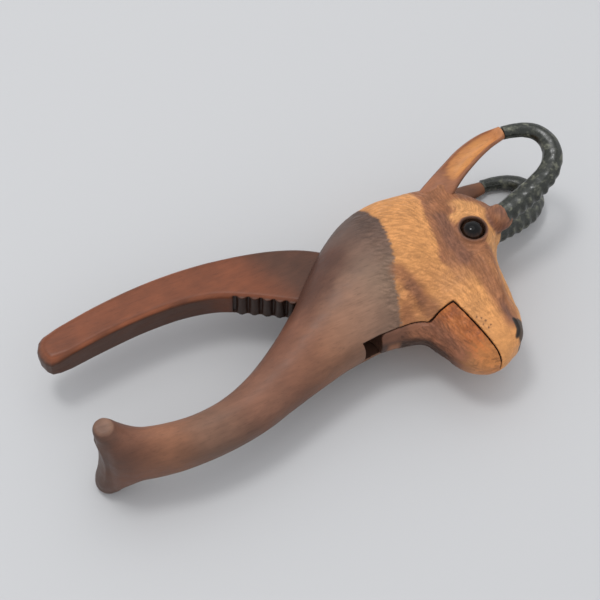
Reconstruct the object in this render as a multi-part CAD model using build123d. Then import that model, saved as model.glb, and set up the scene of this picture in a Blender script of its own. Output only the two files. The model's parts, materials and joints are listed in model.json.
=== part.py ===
"""Carved chamois-head lever nutcracker, lying on its left side as it rests on a table.

The neck runs on into a fixed handle that ends in a crossbar foot. The lever passes through a mortise in
the neck, turns on a steel pin between the mortise's walls, and ends in the lower jaw. Everything is laid
out from the pivot axis in the mid-plane: +X towards the horns, -Y the way the muzzle points, +Z up
towards the animal's right side. The finished pieces are then moved, so that the origin is the middle of
the base.
"""

import os

from build123d import *

# Driving dimensions, in millimetres
PIVOT = (24.7, -8.7, 26.0)  # the pivot axis in the finished frame
LEVER_THICKNESS = 15.2
MORTISE_WIDTH = 16.0
HANDLE_ROUNDING = 3.4
PIN_RADIUS = 2.5
PIN_CLEARANCE = 0.05  # running clearance of the lever on the pin
PIN_LENGTH = 30.0
PLUG_RADIUS = 4.0
HALF_SLIT = 0.45  # half the width of the slit between the jaws
NUT_SEAT = (21.4, -24.0, 0.0)
NUT_SEAT_RADIUS = 7.5
RIB_COUNT = 8
RIB_PITCH = 5.0
RIB_GROOVE_RADIUS = 1.1
EYE_AT = (41.0, 13.6)
EYE_RADIUS = 5.2
EYE_SEAT_Z = 15.6  # floor of the eye socket, from the mid-plane
EYE_RIM = 1.6  # straight edge of the glass, below its dome
EYE_DOME = 3.8
IRIS_THICKNESS = 0.6
HORN_DOWEL_RADIUS = 1.5
HORN_DOWEL_LENGTH = 15.0
EAR_DOWEL_RADIUS = 1.2
EAR_DOWEL_LENGTH = 12.0
BROW_RADIUS = 9.8
BROW_Z = 10.4
BURR_AT = (58.4, 18.6, 10.8)
BURR_RADIUS = 6.8
LEFT_SHIFT = (-1.6, 3.8, 0.0)  # the left ear and burr are carved a little further back than the right
LEFT_HORN_SHIFT = (-3.6, 5.0, 0.0)
LEFT_HORN_SPREAD = 1.12  # the left horn is longer in x by this much, from its root
PAST_THE_WOOD = 40.0  # a height or length that is sure to leave the carving

# Neck and skull, as ellipses across X: x, middle y, half height in y, half width in z
NECK = [
    (-137.0, -10.8, 7.0, 20.0),
    (-128.0, -13.8, 8.4, 18.2),
    (-116.0, -16.8, 9.1, 14.8),
    (-102.0, -18.2, 9.3, 12.4),
    (-88.0, -17.3, 9.9, 11.8),
    (-74.0, -13.8, 11.4, 12.2),
    (-60.0, -7.8, 13.5, 13.8),
    (-45.0, -0.3, 17.0, 17.2),
    (-31.0, 7.8, 21.8, 20.8),
    (-18.0, 14.0, 26.6, 23.4),
    (-4.0, 18.6, 30.4, 24.8),
    (10.0, 21.0, 31.2, 24.8),
    (23.0, 22.4, 29.2, 22.8),
    (35.0, 24.4, 25.4, 20.0),
    (46.0, 25.2, 19.6, 16.6),
    (55.0, 24.4, 12.6, 12.0),
    (60.0, 23.4, 7.0, 7.6),
]

# Muzzle with the lower jaw, as ellipses across Y: y, middle x, half depth in x, half width in z
MUZZLE = [
    (16.0, 34.0, 17.2, 17.2),
    (8.0, 32.6, 18.6, 18.2),
    (0.0, 29.0, 20.0, 17.8),
    (-7.0, 26.0, 22.0, 16.8),
    (-13.0, 25.2, 22.0, 15.8),
    (-20.0, 25.3, 20.8, 14.9),
    (-27.0, 25.8, 18.5, 13.9),
    (-32.5, 25.5, 15.9, 12.6),
    (-37.0, 25.1, 12.0, 10.4),
    (-39.8, 24.8, 8.2, 7.8),
    (-41.4, 24.6, 4.4, 4.4),
]

# Crossbar foot, as ellipses across Z: z, middle x, middle y, half width in x, half width in y
FOOT = [
    (-26.0, -140.2, -8.4, 3.5, 3.7),
    (-24.4, -140.2, -8.6, 5.0, 5.3),
    (-19.0, -139.4, -9.2, 6.2, 6.6),
    (-10.0, -135.8, -10.4, 7.2, 7.6),
    (0.0, -133.4, -11.0, 7.6, 8.2),
    (10.0, -135.0, -10.6, 7.0, 7.4),
    (19.0, -137.8, -9.8, 5.6, 5.8),
    (24.4, -138.8, -9.4, 4.4, 4.5),
    (26.0, -139.0, -9.3, 3.5, 3.5),
]

# Movable handle, as rounded rectangles along its middle: x, y, z, half height in the plane, half thickness
HANDLE = [
    (-146.8, 43.2, 0.0, 3.6, 3.4),
    (-144.6, 43.5, 0.0, 6.2, 6.0),
    (-137.0, 44.7, 0.0, 7.3, 7.1),
    (-118.0, 47.2, 0.0, 7.6, 7.6),
    (-98.0, 48.5, 0.0, 7.9, 7.6),
    (-80.0, 47.7, 0.0, 8.4, 7.6),
    (-66.0, 45.2, 0.0, 9.4, 7.6),
    (-54.0, 41.2, 0.0, 11.2, 7.6),
    (-42.0, 36.0, 0.0, 13.0, 7.6),
    (-30.5, 29.6, 0.0, 14.0, 7.6),
    (-20.0, 20.6, 0.0, 14.0, 7.6),
]

# The lever inside the mortise, round the pivot to the jaw and the throat, where the skin trims it
LEVER_ROOT = [
    (-22.0, 39.0), (-12.0, 32.0), (-3.0, 23.0), (6.6, 11.0), (11.6, 0.0), (11.8, -8.5),
    (15.0, -14.4), (15.0, -21.0), (8.2, -22.0), (-15.6, -17.0), (-15.2, -9.5), (-15.9, -5.8),
    (-20.0, 1.0), (-29.0, 10.8),
]

# Mortise outline in the mid-plane: ribbed floor, back opening, roof over the lever's swing, throat
MORTISE = [
    (-15.6, -24.0), (-46.5, 15.5), (-62.0, 40.0), (-10.0, 72.0), (-2.4, 56.0), (5.0, 39.5),
    (10.4, 24.0), (13.6, 10.0), (14.0, -7.0), (15.6, -12.6), (10.0, -20.0), (0.0, -26.0),
]

# The lower jaw: up the mouth from the chin to its corner, back along the throat, and round below
JAW = [
    (26.8, -48.0), (25.4, -41.0), (23.2, -34.0), (21.7, -27.8), (20.1, -21.5), (18.6, -16.0),
    (17.6, -12.2), (11.0, -12.7), (7.6, -13.6), (4.4, -14.5), (2.0, -13.9), (-1.2, -13.4),
    (-5.8, -12.4), (-7.6, -16.4), (-5.0, -30.0), (4.0, -48.0),
]
# The rounded throat below the pivot, as a rod between two points
THROAT = [(-9.5, -4.0, 0.0), (5.0, -8.0, 0.0)]
THROAT_RADIUS = 9.3

# Centreline of the right horn, with its radius
HORN = [
    (59.0, 18.4, 11.2, 5.0),
    (64.0, 19.6, 12.3, 5.0),
    (71.0, 21.2, 13.8, 5.1),
    (78.0, 22.8, 15.5, 5.1),
    (84.4, 25.2, 17.2, 4.9),
    (89.8, 29.0, 19.0, 4.6),
    (92.8, 34.0, 20.7, 4.3),
    (93.2, 39.6, 21.9, 3.8),
    (91.0, 44.8, 22.5, 3.4),
    (86.8, 48.2, 22.8, 3.1),
    (81.6, 50.0, 22.8, 2.9),
    (77.2, 50.8, 22.8, 2.8),
]

# Axis of the right ear, with its half width and half thickness
EAR = [
    (34.4, 37.6, 11.4, 7.4, 3.4),
    (41.4, 41.4, 14.2, 6.4, 2.9),
    (49.2, 45.2, 16.6, 5.6, 2.4),
    (58.2, 48.7, 19.2, 5.3, 2.2),
    (67.6, 50.7, 21.6, 4.4, 2.1),
    (76.4, 51.2, 22.8, 3.0, 2.1),
]


def loft_across(rows, x_dir, z_dir, place):
    """A smooth solid through ellipses; place(row) gives each one's centre and half sizes."""
    sections = []
    for row in rows:
        centre, half_a, half_b = place(row)
        sections.append(Plane(origin=centre, x_dir=x_dir, z_dir=z_dir) * Ellipse(half_a, half_b))
    return loft(sections)


def loft_along(rows, section):
    """A smooth solid through the rows' sections, each square to the line through their points."""
    points = [Vector(*row[:3]) for row in rows]
    sections = []
    for i, row in enumerate(rows):
        ahead = points[min(i + 1, len(points) - 1)]
        behind = points[max(i - 1, 0)]
        tangent = (ahead - behind).normalized()
        across = Vector(0, 0, 1).cross(tangent).normalized()
        sections.append(Plane(origin=points[i], x_dir=across, z_dir=tangent) * section(row))
    return loft(sections)


def handle_section(row):
    half_height, half_thickness = row[3:]
    rounding = min(HANDLE_ROUNDING, 0.8 * half_height, 0.8 * half_thickness)
    return RectangleRounded(2 * half_height, 2 * half_thickness, rounding)


def prism(points, half_height, grow=0.0):
    """An upright prism through the mid-plane, its outline moved outwards by grow."""
    face = make_face(Polyline(*points, close=True))
    if grow:
        face = offset(face, amount=grow, kind=Kind.INTERSECTION)
    return extrude(face, half_height, both=True)


def rod(start, end, radius):
    """A round-ended rod between two points."""
    start, end = Vector(*start), Vector(*end)
    middle = Plane(origin=(start + end) / 2, z_dir=end - start)
    shank = middle * Cylinder(radius, (end - start).length)
    return shank + Pos(start) * Sphere(radius) + Pos(end) * Sphere(radius)


def dowel(rows, radius, length):
    """A rod centred on the first row's point, along the first stretch of the rows."""
    base = Vector(*rows[0][:3])
    way = (Vector(*rows[2][:3]) - base).normalized()
    return Plane(origin=base, z_dir=way) * Cylinder(radius, length)


def left_of(shape):
    """The same piece on the animal's left side."""
    return mirror(shape, about=Plane.XY)


def left_and_back(shape):
    """The left ear, burr or ear dowel that answers to a right one."""
    return Pos(*LEFT_SHIFT) * left_of(shape)


def left_horn_rows():
    """The right horn's rows carried over to the left side, and spread."""
    root_x = HORN[0][0]
    rows = []
    for x, y, z, radius in HORN:
        spread_x = root_x + (x - root_x) * LEFT_HORN_SPREAD
        rows.append((spread_x + LEFT_HORN_SHIFT[0], y + LEFT_HORN_SHIFT[1], -z, radius))
    return rows


def upright(at, z, radius, height):
    """A cylinder that stands on z, on the right side."""
    return Pos(at[0], at[1], z) * Cylinder(radius, height, align=(Align.CENTER, Align.CENTER, Align.MIN))


def carving_blank():
    """Neck, skull, muzzle and foot, with the jaws still joined."""
    neck = loft_across(NECK, (0, 1, 0), (1, 0, 0), lambda r: ((r[0], r[1], 0), r[2], r[3]))
    muzzle = loft_across(MUZZLE, (1, 0, 0), (0, -1, 0), lambda r: ((r[1], r[0], 0), r[2], r[3]))
    foot = loft_across(FOOT, (1, 0, 0), (0, 0, 1), lambda r: ((r[1], r[2], r[0]), r[3], r[4]))
    blank = neck + muzzle + foot + rod(*THROAT, THROAT_RADIUS)
    brow = Pos(EYE_AT[0], EYE_AT[1], BROW_Z) * Sphere(BROW_RADIUS)
    burr = Pos(*BURR_AT) * Sphere(BURR_RADIUS)
    return blank + brow + left_of(brow) + burr + left_and_back(burr)


def rib_grooves(start, towards, length):
    """Round grooves across an edge, spaced evenly from a start point towards another point."""
    way = (Vector(*towards) - Vector(*start)).normalized()
    grooves = []
    for i in range(RIB_COUNT):
        at = Vector(*start) + way * (i * RIB_PITCH)
        grooves.append(Pos(at.X, at.Y, 0) * Cylinder(RIB_GROOVE_RADIUS, length))
    return grooves


def make_lever(blank):
    """The movable handle, the part in the mortise and the lower jaw, in one piece."""
    above_throat = Box(*[4 * PAST_THE_WOOD] * 3, align=(Align.CENTER, Align.MIN, Align.CENTER))
    root = prism(LEVER_ROOT, LEVER_THICKNESS / 2) & (blank + above_throat)
    bar = loft_along(HANDLE, handle_section) + root
    for groove in rib_grooves((-61.5, 32.4), (-29.0, 9.6), LEVER_THICKNESS + 2):
        bar = bar - groove
    jaw = blank & prism(JAW, PAST_THE_WOOD, -HALF_SLIT)
    lever = bar + jaw - Pos(*NUT_SEAT) * Sphere(NUT_SEAT_RADIUS)
    return lever - Cylinder(PIN_RADIUS + PIN_CLEARANCE, 2 * LEVER_THICKNESS)


def make_body(blank, seated):
    """Head, neck and fixed handle, with seats for the pieces in seated."""
    body = blank - prism(JAW, PAST_THE_WOOD, HALF_SLIT) - prism(MORTISE, MORTISE_WIDTH / 2)
    for groove in rib_grooves((-20.3, -18.0), (-46.5, 15.5), MORTISE_WIDTH):
        body = body - groove
    body = body - Pos(*NUT_SEAT) * Sphere(NUT_SEAT_RADIUS)
    for piece in seated:
        body = body - piece
    return body


def make_pieces():
    blank = carving_blank()
    pin = Cylinder(PIN_RADIUS, PIN_LENGTH)
    plug = upright((0, 0), PIN_LENGTH / 2, PLUG_RADIUS, PAST_THE_WOOD) & blank
    iris = upright(EYE_AT, EYE_SEAT_Z, EYE_RADIUS, IRIS_THICKNESS)
    glass = upright(EYE_AT, EYE_SEAT_Z + IRIS_THICKNESS, EYE_RADIUS, EYE_RIM)
    dome = (EYE_RADIUS**2 + EYE_DOME**2) / (2 * EYE_DOME)
    dome_top = EYE_SEAT_Z + IRIS_THICKNESS + EYE_RIM + EYE_DOME
    ball = Pos(EYE_AT[0], EYE_AT[1], dome_top - dome) * Sphere(dome)
    glass = glass + (upright(EYE_AT, EYE_SEAT_Z + IRIS_THICKNESS, EYE_RADIUS, PAST_THE_WOOD) & ball)
    left_horn_dowel = dowel(left_horn_rows(), HORN_DOWEL_RADIUS, HORN_DOWEL_LENGTH)
    left_horn = loft_along(left_horn_rows(), lambda row: Circle(row[3])) - left_horn_dowel
    horn_dowel = dowel(HORN, HORN_DOWEL_RADIUS, HORN_DOWEL_LENGTH)
    ear_dowel = dowel(EAR, EAR_DOWEL_RADIUS, EAR_DOWEL_LENGTH)
    horn = loft_along(HORN, lambda row: Circle(row[3])) - horn_dowel
    ear = loft_along(EAR, lambda row: Ellipse(row[3], row[4])) - ear_dowel
    socket = upright(EYE_AT, EYE_SEAT_Z, EYE_RADIUS, PAST_THE_WOOD)

    pairs = {
        "horn": (horn, left_horn),
        "horn_dowel": (horn_dowel, left_horn_dowel),
        "ear": (ear, left_and_back(ear)),
        "ear_dowel": (ear_dowel, left_and_back(ear_dowel)),
        "eye_iris": (iris, left_of(iris)),
        "eye_glass": (glass, left_of(glass)),
        "pin_plug": (plug, left_of(plug)),
    }
    seated = [pin, socket, left_of(socket), plug, left_of(plug)]
    for kind in ("horn_dowel", "ear_dowel", "horn", "ear"):
        seated += pairs[kind]
    pieces = {
        "head_neck_and_handle": make_body(blank, seated),
        "lever_with_lower_jaw": make_lever(blank),
        "pivot_pin": pin,
    }
    for name, (right, left) in pairs.items():
        pieces[name + "_right"] = right
        pieces[name + "_left"] = left
    return pieces


def main():
    os.makedirs("parts", exist_ok=True)
    for name, shape in make_pieces().items():
        export_step(Pos(*PIVOT) * shape, "parts/" + name + ".step")


main()
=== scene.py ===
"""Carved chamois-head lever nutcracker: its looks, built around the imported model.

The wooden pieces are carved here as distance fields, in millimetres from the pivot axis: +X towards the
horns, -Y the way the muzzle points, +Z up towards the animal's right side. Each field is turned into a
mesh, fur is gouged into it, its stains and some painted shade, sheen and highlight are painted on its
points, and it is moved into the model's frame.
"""

import json
import math

import bpy
import numpy as np
from mathutils import Matrix, Vector, kdtree


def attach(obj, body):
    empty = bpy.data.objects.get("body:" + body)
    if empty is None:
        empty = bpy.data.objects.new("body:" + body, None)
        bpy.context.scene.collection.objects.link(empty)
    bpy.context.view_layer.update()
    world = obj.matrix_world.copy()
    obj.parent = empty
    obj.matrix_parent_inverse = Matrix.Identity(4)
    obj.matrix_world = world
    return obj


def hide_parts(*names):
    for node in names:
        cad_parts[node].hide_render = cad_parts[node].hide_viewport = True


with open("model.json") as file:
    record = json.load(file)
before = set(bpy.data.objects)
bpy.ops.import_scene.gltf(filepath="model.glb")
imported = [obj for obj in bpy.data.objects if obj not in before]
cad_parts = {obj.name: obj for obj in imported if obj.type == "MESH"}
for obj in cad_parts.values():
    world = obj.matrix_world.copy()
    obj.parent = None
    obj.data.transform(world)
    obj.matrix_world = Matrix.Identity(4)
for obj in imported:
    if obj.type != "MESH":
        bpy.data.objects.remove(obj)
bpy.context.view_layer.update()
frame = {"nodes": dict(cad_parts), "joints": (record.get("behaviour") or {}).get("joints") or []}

MM = 0.001
PIVOT = np.array(frame["joints"][0]["pos_m"])  # the pivot axis, in the model's frame, in metres
SEED = 7

# ---------------------------------------------------------------- driving sizes, in millimetres

CARVING_STEP = 0.45  # size of the mesh's cells on carved wood
STROKES = 11000  # fur strokes on the head
FUR_LENGTH = 5.0
FUR_WIDTH = 0.32
FUR_DEPTH = 0.17
SKIN = 0.7  # wood deeper than this in the blank is inside the mortise or the mouth
MIRROR = np.array((1.0, 1.0, -1.0))
FOOT_HALF_WIDTH = 26.0
MORTISE_HALF_WIDTH = 8.0
LEVER_ROUNDING = 2.6
LEVER_END_ROUNDING = 5.0
HALF_SLIT = 0.36  # half the width of the slit between the jaws
NUT_SEAT = ((21.4, -24.0, 0.0), 7.5)  # ball: centre and radius
PIN_RADIUS = 2.5
PIN_CLEARANCE = 0.05
PLUG_RADIUS = 4.0
PLUG_HOLE_RADIUS = 3.3
PLUG_FLOOR = 15.0
RIB_COUNT = 8
RIB_PITCH = 5.4
RIB_RADIUS = 2.3
RIB_HALF_WIDTH = 6.6
FIRST_RIB = 2.6  # from the start of the ribbed stretch to the first rib's middle
RIB_SINK = 1.9  # how deep the ribs' middles lie in the handle
RIBS_START = -63.0
RECESS_END = -20.0
RECESS_DEPTH = 1.5
RECESS_HALF_WIDTH = 6.4
NECK_GROOVE_RADIUS = 1.3
EYE_AT = (41.0, 13.6)
EYE_RADIUS = 5.2
EYE_SEAT_Z = 15.6
EYE_GAP = 0.04
IRIS_THICKNESS = 0.6
EYE_RIM = 1.6
EYE_DOME = 3.8
EYE_TOP = EYE_SEAT_Z + IRIS_THICKNESS + EYE_RIM + EYE_DOME
LID_RADIUS = 0.9
LID_Z = 19.2
LEFT_SHIFT = np.array((-1.6, 3.8, 0.0))  # the left horn and ear stand a little further back
LEFT_HORN_SPREAD = 1.12  # the left horn is a little longer in its bend
LEFT_HORN_SHIFT = np.array((-3.6, 5.0, 0.0))
NOSE_TIP = np.array((33.0, -43.0, 0.0))
KNOBS = 15.0  # along a horn
EYE_SIDES = 72

# Round forms on both sides of the blank: rods, as two ends and a radius, and balls
THROAT = ((-9.5, -4.0, 0.0), (5.0, -8.0, 0.0), 9.3)
EAR_ROOT = ((33.0, 36.0, 10.0), (41.0, 40.6, 13.2), 4.4)
CREST = ((40.0, 4.0, 13.5), (37.5, -16.0, 9.0), 4.4)
FACE_HOLLOW = ((52.5, -1.0, 12.5), (46.5, -17.0, 11.4), 4.6)
NOSTRIL = ((38.4, -29.6, 10.6), (37.9, -34.0, 10.2), 0.8)
NOSTRIL_HOOK = ((37.9, -34.0, 10.2), (35.9, -36.8, 9.4), 0.7)
BROW = ((EYE_AT[0] + 0.3, EYE_AT[1] + 0.2, 10.4), 9.6)
BURR = ((58.4, 18.6, 10.8), 6.0)
NOSE_PAD = ((34.4, -31.4, 4.6), 6.2)

# Neck and skull, as ellipses across X: x, middle y, half height in y, half width in z
NECK = [
    (-140.6, -9.6, 3.0, 12.0),
    (-139.4, -10.0, 5.4, 17.0),
    (-136.0, -11.2, 7.2, 19.0),
    (-128.0, -13.8, 8.5, 17.4),
    (-116.0, -16.8, 9.1, 14.8),
    (-102.0, -18.2, 9.3, 12.6),
    (-88.0, -17.3, 9.9, 12.0),
    (-74.0, -13.8, 11.4, 12.4),
    (-60.0, -7.8, 13.5, 13.9),
    (-45.0, -0.3, 17.0, 17.2),
    (-31.0, 7.8, 21.8, 20.8),
    (-18.0, 14.0, 26.5, 23.4),
    (-4.0, 18.5, 30.2, 24.8),
    (10.0, 21.0, 31.0, 24.6),
    (23.0, 22.4, 29.0, 22.6),
    (35.0, 24.4, 25.2, 19.8),
    (46.0, 25.2, 19.4, 16.4),
    (55.0, 24.2, 12.4, 11.8),
    (59.0, 23.4, 7.6, 8.2),
    (60.6, 23.0, 3.0, 3.4),
]

# Muzzle with the lower jaw, as ellipses across Y: y, middle x, half depth in x, half width in z
MUZZLE = [
    (-42.2, 24.4, 2.4, 2.4),
    (-41.2, 24.6, 5.6, 5.4),
    (-39.2, 24.9, 9.2, 8.6),
    (-35.5, 25.2, 13.6, 11.4),
    (-31.3, 25.6, 16.7, 13.0),
    (-27.0, 25.8, 18.5, 13.9),
    (-22.6, 25.4, 20.2, 14.6),
    (-19.0, 25.0, 21.0, 15.0),
    (-13.0, 25.2, 22.0, 15.8),
    (-7.0, 26.0, 22.0, 16.8),
    (0.0, 29.0, 20.0, 17.8),
    (8.0, 32.6, 18.6, 18.2),
    (16.0, 34.0, 17.0, 17.0),
    (22.0, 34.0, 13.0, 14.0),
]

# Crossbar foot, as ellipses across Z: z, middle x, middle y, half width in x, half width in y
FOOT = [
    (-26.0, -140.2, -8.4, 3.9, 4.1),
    (-24.4, -140.2, -8.6, 5.0, 5.3),
    (-19.0, -139.2, -9.2, 6.0, 6.5),
    (-10.0, -135.6, -10.4, 6.8, 7.4),
    (0.0, -133.2, -11.0, 7.2, 8.0),
    (10.0, -134.8, -10.6, 6.6, 7.2),
    (19.0, -137.6, -9.8, 5.4, 5.8),
    (24.4, -138.8, -9.4, 4.4, 4.5),
    (26.0, -139.0, -9.3, 3.6, 3.6),
]

# Movable handle, along its middle: x, y, half height in the plane, half thickness
HANDLE = [
    (-142.0, 44.0, 7.2, 6.9),
    (-137.0, 44.7, 7.3, 7.1),
    (-118.0, 47.2, 7.6, 7.6),
    (-98.0, 48.5, 7.9, 7.6),
    (-80.0, 47.7, 8.4, 7.6),
    (-66.0, 45.2, 9.4, 7.6),
    (-54.0, 41.2, 11.2, 7.6),
    (-42.0, 36.0, 13.0, 7.6),
    (-30.5, 29.6, 14.0, 7.6),
    (-20.0, 20.6, 13.8, 7.6),
]
HANDLE_END = [(-145.4, 49.6), (-147.2, 46.4), (-147.3, 42.6), (-146.2, 39.2), (-144.4, 37.2)]
LEVER_ROOT = [
    (-22.0, 39.0), (-12.0, 32.0), (-3.0, 23.0), (6.6, 11.0), (11.6, 0.0), (11.8, -8.5),
    (15.0, -14.4), (15.0, -21.0), (8.2, -22.0), (-15.6, -17.0), (-15.2, -9.5), (-15.9, -5.8),
    (-20.0, 1.0), (-29.0, 10.8),
]
MORTISE = [
    (-13.8, -24.0), (-45.4, 15.5), (-62.0, 40.0), (-10.0, 72.0), (-2.4, 56.0), (5.0, 39.5),
    (10.4, 24.0), (13.6, 10.0), (14.0, -7.0), (15.6, -12.6), (10.0, -20.0), (0.0, -26.0),
]
JAW = [
    (26.8, -48.0), (25.4, -41.0), (23.2, -34.0), (21.7, -27.8), (20.1, -21.5), (18.6, -16.0),
    (17.6, -12.2), (15.0, -12.3), (11.0, -12.7), (7.6, -13.6), (4.4, -14.5), (2.0, -13.9),
    (-1.2, -13.4), (-3.4, -13.0), (-5.8, -12.4), (-7.6, -13.4), (-7.6, -16.4), (-5.0, -30.0),
    (4.0, -48.0),
]

# Centreline of the right horn, with its radius
HORN = [
    (59.0, 18.4, 11.2, 4.9),
    (64.0, 19.6, 12.3, 5.0),
    (71.0, 21.2, 13.8, 5.1),
    (78.0, 22.8, 15.5, 5.1),
    (84.4, 25.2, 17.2, 4.9),
    (89.8, 29.0, 19.0, 4.6),
    (92.8, 34.0, 20.7, 4.4),
    (93.2, 39.6, 21.9, 4.0),
    (91.0, 44.8, 22.5, 3.6),
    (86.8, 48.2, 22.8, 3.3),
    (81.6, 50.0, 22.8, 3.1),
    (77.0, 50.8, 22.8, 3.0),
]

# Axis of the right ear, with its half width and half thickness
EAR = [
    (34.4, 37.6, 11.4, 7.6, 3.8),
    (41.4, 41.4, 14.2, 6.5, 3.3),
    (49.2, 45.2, 16.6, 5.7, 2.7),
    (58.2, 48.7, 19.2, 5.3, 2.4),
    (67.6, 50.7, 21.6, 4.4, 2.4),
    (76.6, 51.2, 22.8, 3.1, 2.7),
]


# ---------------------------------------------------------------- curves, distance fields, meshes


def smooth_rows(rows, count=400):
    """The rows as one smooth curve: count rows, evenly spaced along the first column."""
    rows = np.array(rows, float)
    along = rows[:, 0]
    t = np.linspace(along[0], along[-1], count)
    i = np.clip(np.searchsorted(along, t, side="right") - 1, 0, len(along) - 2)
    h = along[i + 1] - along[i]
    u = (t - along[i]) / h
    columns = [t]
    for column in rows[:, 1:].T:
        slope = np.gradient(column, along)
        start, end = column[i], column[i + 1]
        bend = (2 * u**3 - 3 * u**2 + 1) * start + (3 * u**2 - 2 * u**3) * end
        bend += (u**3 - 2 * u**2 + u) * h * slope[i] + (u**3 - u**2) * h * slope[i + 1]
        columns.append(bend)
    return np.array(columns)


def smooth_path(points, count):
    """A smooth path through points of any dimension, evenly spaced along its length."""
    points = np.array(points, float)
    steps = np.linalg.norm(np.diff(points[:, :3], axis=0), axis=1)
    along = np.concatenate([[0.0], np.cumsum(steps)])
    return smooth_rows(np.column_stack([along, points]), count)[1:].T


def smooth_min(a, b, k):
    """The lesser of two distances, with a fillet about k wide where they are alike."""
    h = np.clip(0.5 + 0.5 * (b - a) / k, 0, 1)
    return b + (a - b) * h - k * h * (1 - h)


def smooth_max(a, b, k):
    return -smooth_min(-a, -b, k)


def smooth_step(low, high, value):
    t = np.clip((value - low) / (high - low), 0, 1)
    return t * t * (3 - 2 * t)


def ellipse_distance(a, b, half_a, half_b):
    """About the distance to an ellipse, from a point's offsets along its two axes."""
    ua, ub = a / half_a, b / half_b
    r = np.sqrt(ua * ua + ub * ub)
    slope = np.sqrt((ua / half_a) ** 2 + (ub / half_b) ** 2)
    return (r - 1) * r / np.maximum(slope, 1e-4)


def stack_distance(along, a, b, table):
    """About the distance to a stack of ellipses, whose middle and half sizes follow the table."""
    middle, half_a, half_b = (np.interp(along, table[0], column) for column in table[1:4])
    beyond = np.maximum(along - table[0][-1], table[0][0] - along)
    return np.maximum(ellipse_distance(a - middle, b, half_a, half_b), beyond)


def foot_distance(x, y, z, table):
    """About the distance to the crossbar foot, whose two ends are flat with a rounded edge."""
    middle_x, middle_y, half_x, half_y = (np.interp(z, table[0], column) for column in table[1:5])
    side = ellipse_distance(x - middle_x, y - middle_y, half_x, half_y)
    return smooth_max(side, np.abs(z) - FOOT_HALF_WIDTH, 1.2)


def ball_distance(x, y, z, centre, radius):
    return np.sqrt((x - centre[0]) ** 2 + (y - centre[1]) ** 2 + (z - centre[2]) ** 2) - radius


def rod_distance(x, y, z, start, end, radius):
    """Distance to a rod with round ends."""
    start, end = np.array(start, float), np.array(end, float)
    way = end - start
    dx, dy, dz = x - start[0], y - start[1], z - start[2]
    t = np.clip((dx * way[0] + dy * way[1] + dz * way[2]) / way.dot(way), 0, 1)
    return np.sqrt((dx - t * way[0]) ** 2 + (dy - t * way[1]) ** 2 + (dz - t * way[2]) ** 2) - radius


class Outline:
    """Signed distance to a closed outline in the mid-plane, read from a fine grid."""

    CELL = 0.4
    MARGIN = 14.0

    def __init__(self, points):
        points = np.array(points, float)
        self.low = points.min(0) - self.MARGIN
        counts = np.ceil((points.max(0) + self.MARGIN - self.low) / self.CELL).astype(int) + 2
        ways = [self.low[i] + np.arange(counts[i]) * self.CELL for i in (0, 1)]
        gx, gy = np.meshgrid(*ways, indexing="ij")
        distance = np.full(gx.shape, 1e9)
        inside = np.zeros(gx.shape, bool)
        for (ax, ay), (bx, by) in zip(points, np.roll(points, -1, axis=0)):
            wx, wy = bx - ax, by - ay
            t = np.clip(((gx - ax) * wx + (gy - ay) * wy) / (wx * wx + wy * wy), 0, 1)
            distance = np.minimum(distance, np.hypot(gx - ax - t * wx, gy - ay - t * wy))
            crosses = (ay > gy) != (by > gy)
            inside ^= crosses & (gx < ax + (gy - ay) * wx / (wy if wy else 1e-9))
        self.grid = np.where(inside, -distance, distance).astype(np.float32)

    def __call__(self, x, y):
        u = np.clip((x - self.low[0]) / self.CELL, 0, self.grid.shape[0] - 1.001)
        v = np.clip((y - self.low[1]) / self.CELL, 0, self.grid.shape[1] - 1.001)
        i, j = u.astype(np.int32), v.astype(np.int32)
        u, v = u - i, v - j
        g = self.grid
        low = g[i, j] * (1 - u) + g[i + 1, j] * u
        high = g[i, j + 1] * (1 - u) + g[i + 1, j + 1] * u
        return low * (1 - v) + high * v


CORNERS = np.array([(i, j, k) for i in (0, 1) for j in (0, 1) for k in (0, 1)])
EDGES = [(a, b) for a in range(8) for b in range(8) if a < b and abs(CORNERS[a] - CORNERS[b]).sum() == 1]
BLOCK = 8


def slopes(distance, p):
    """The field's slope at each point."""
    reach = 0.12
    columns = []
    for axis in range(3):
        shift = np.zeros(3)
        shift[axis] = reach
        columns.append((distance(*(p + shift).T) - distance(*(p - shift).T)) / (2 * reach))
    return np.stack(columns, 1)


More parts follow.
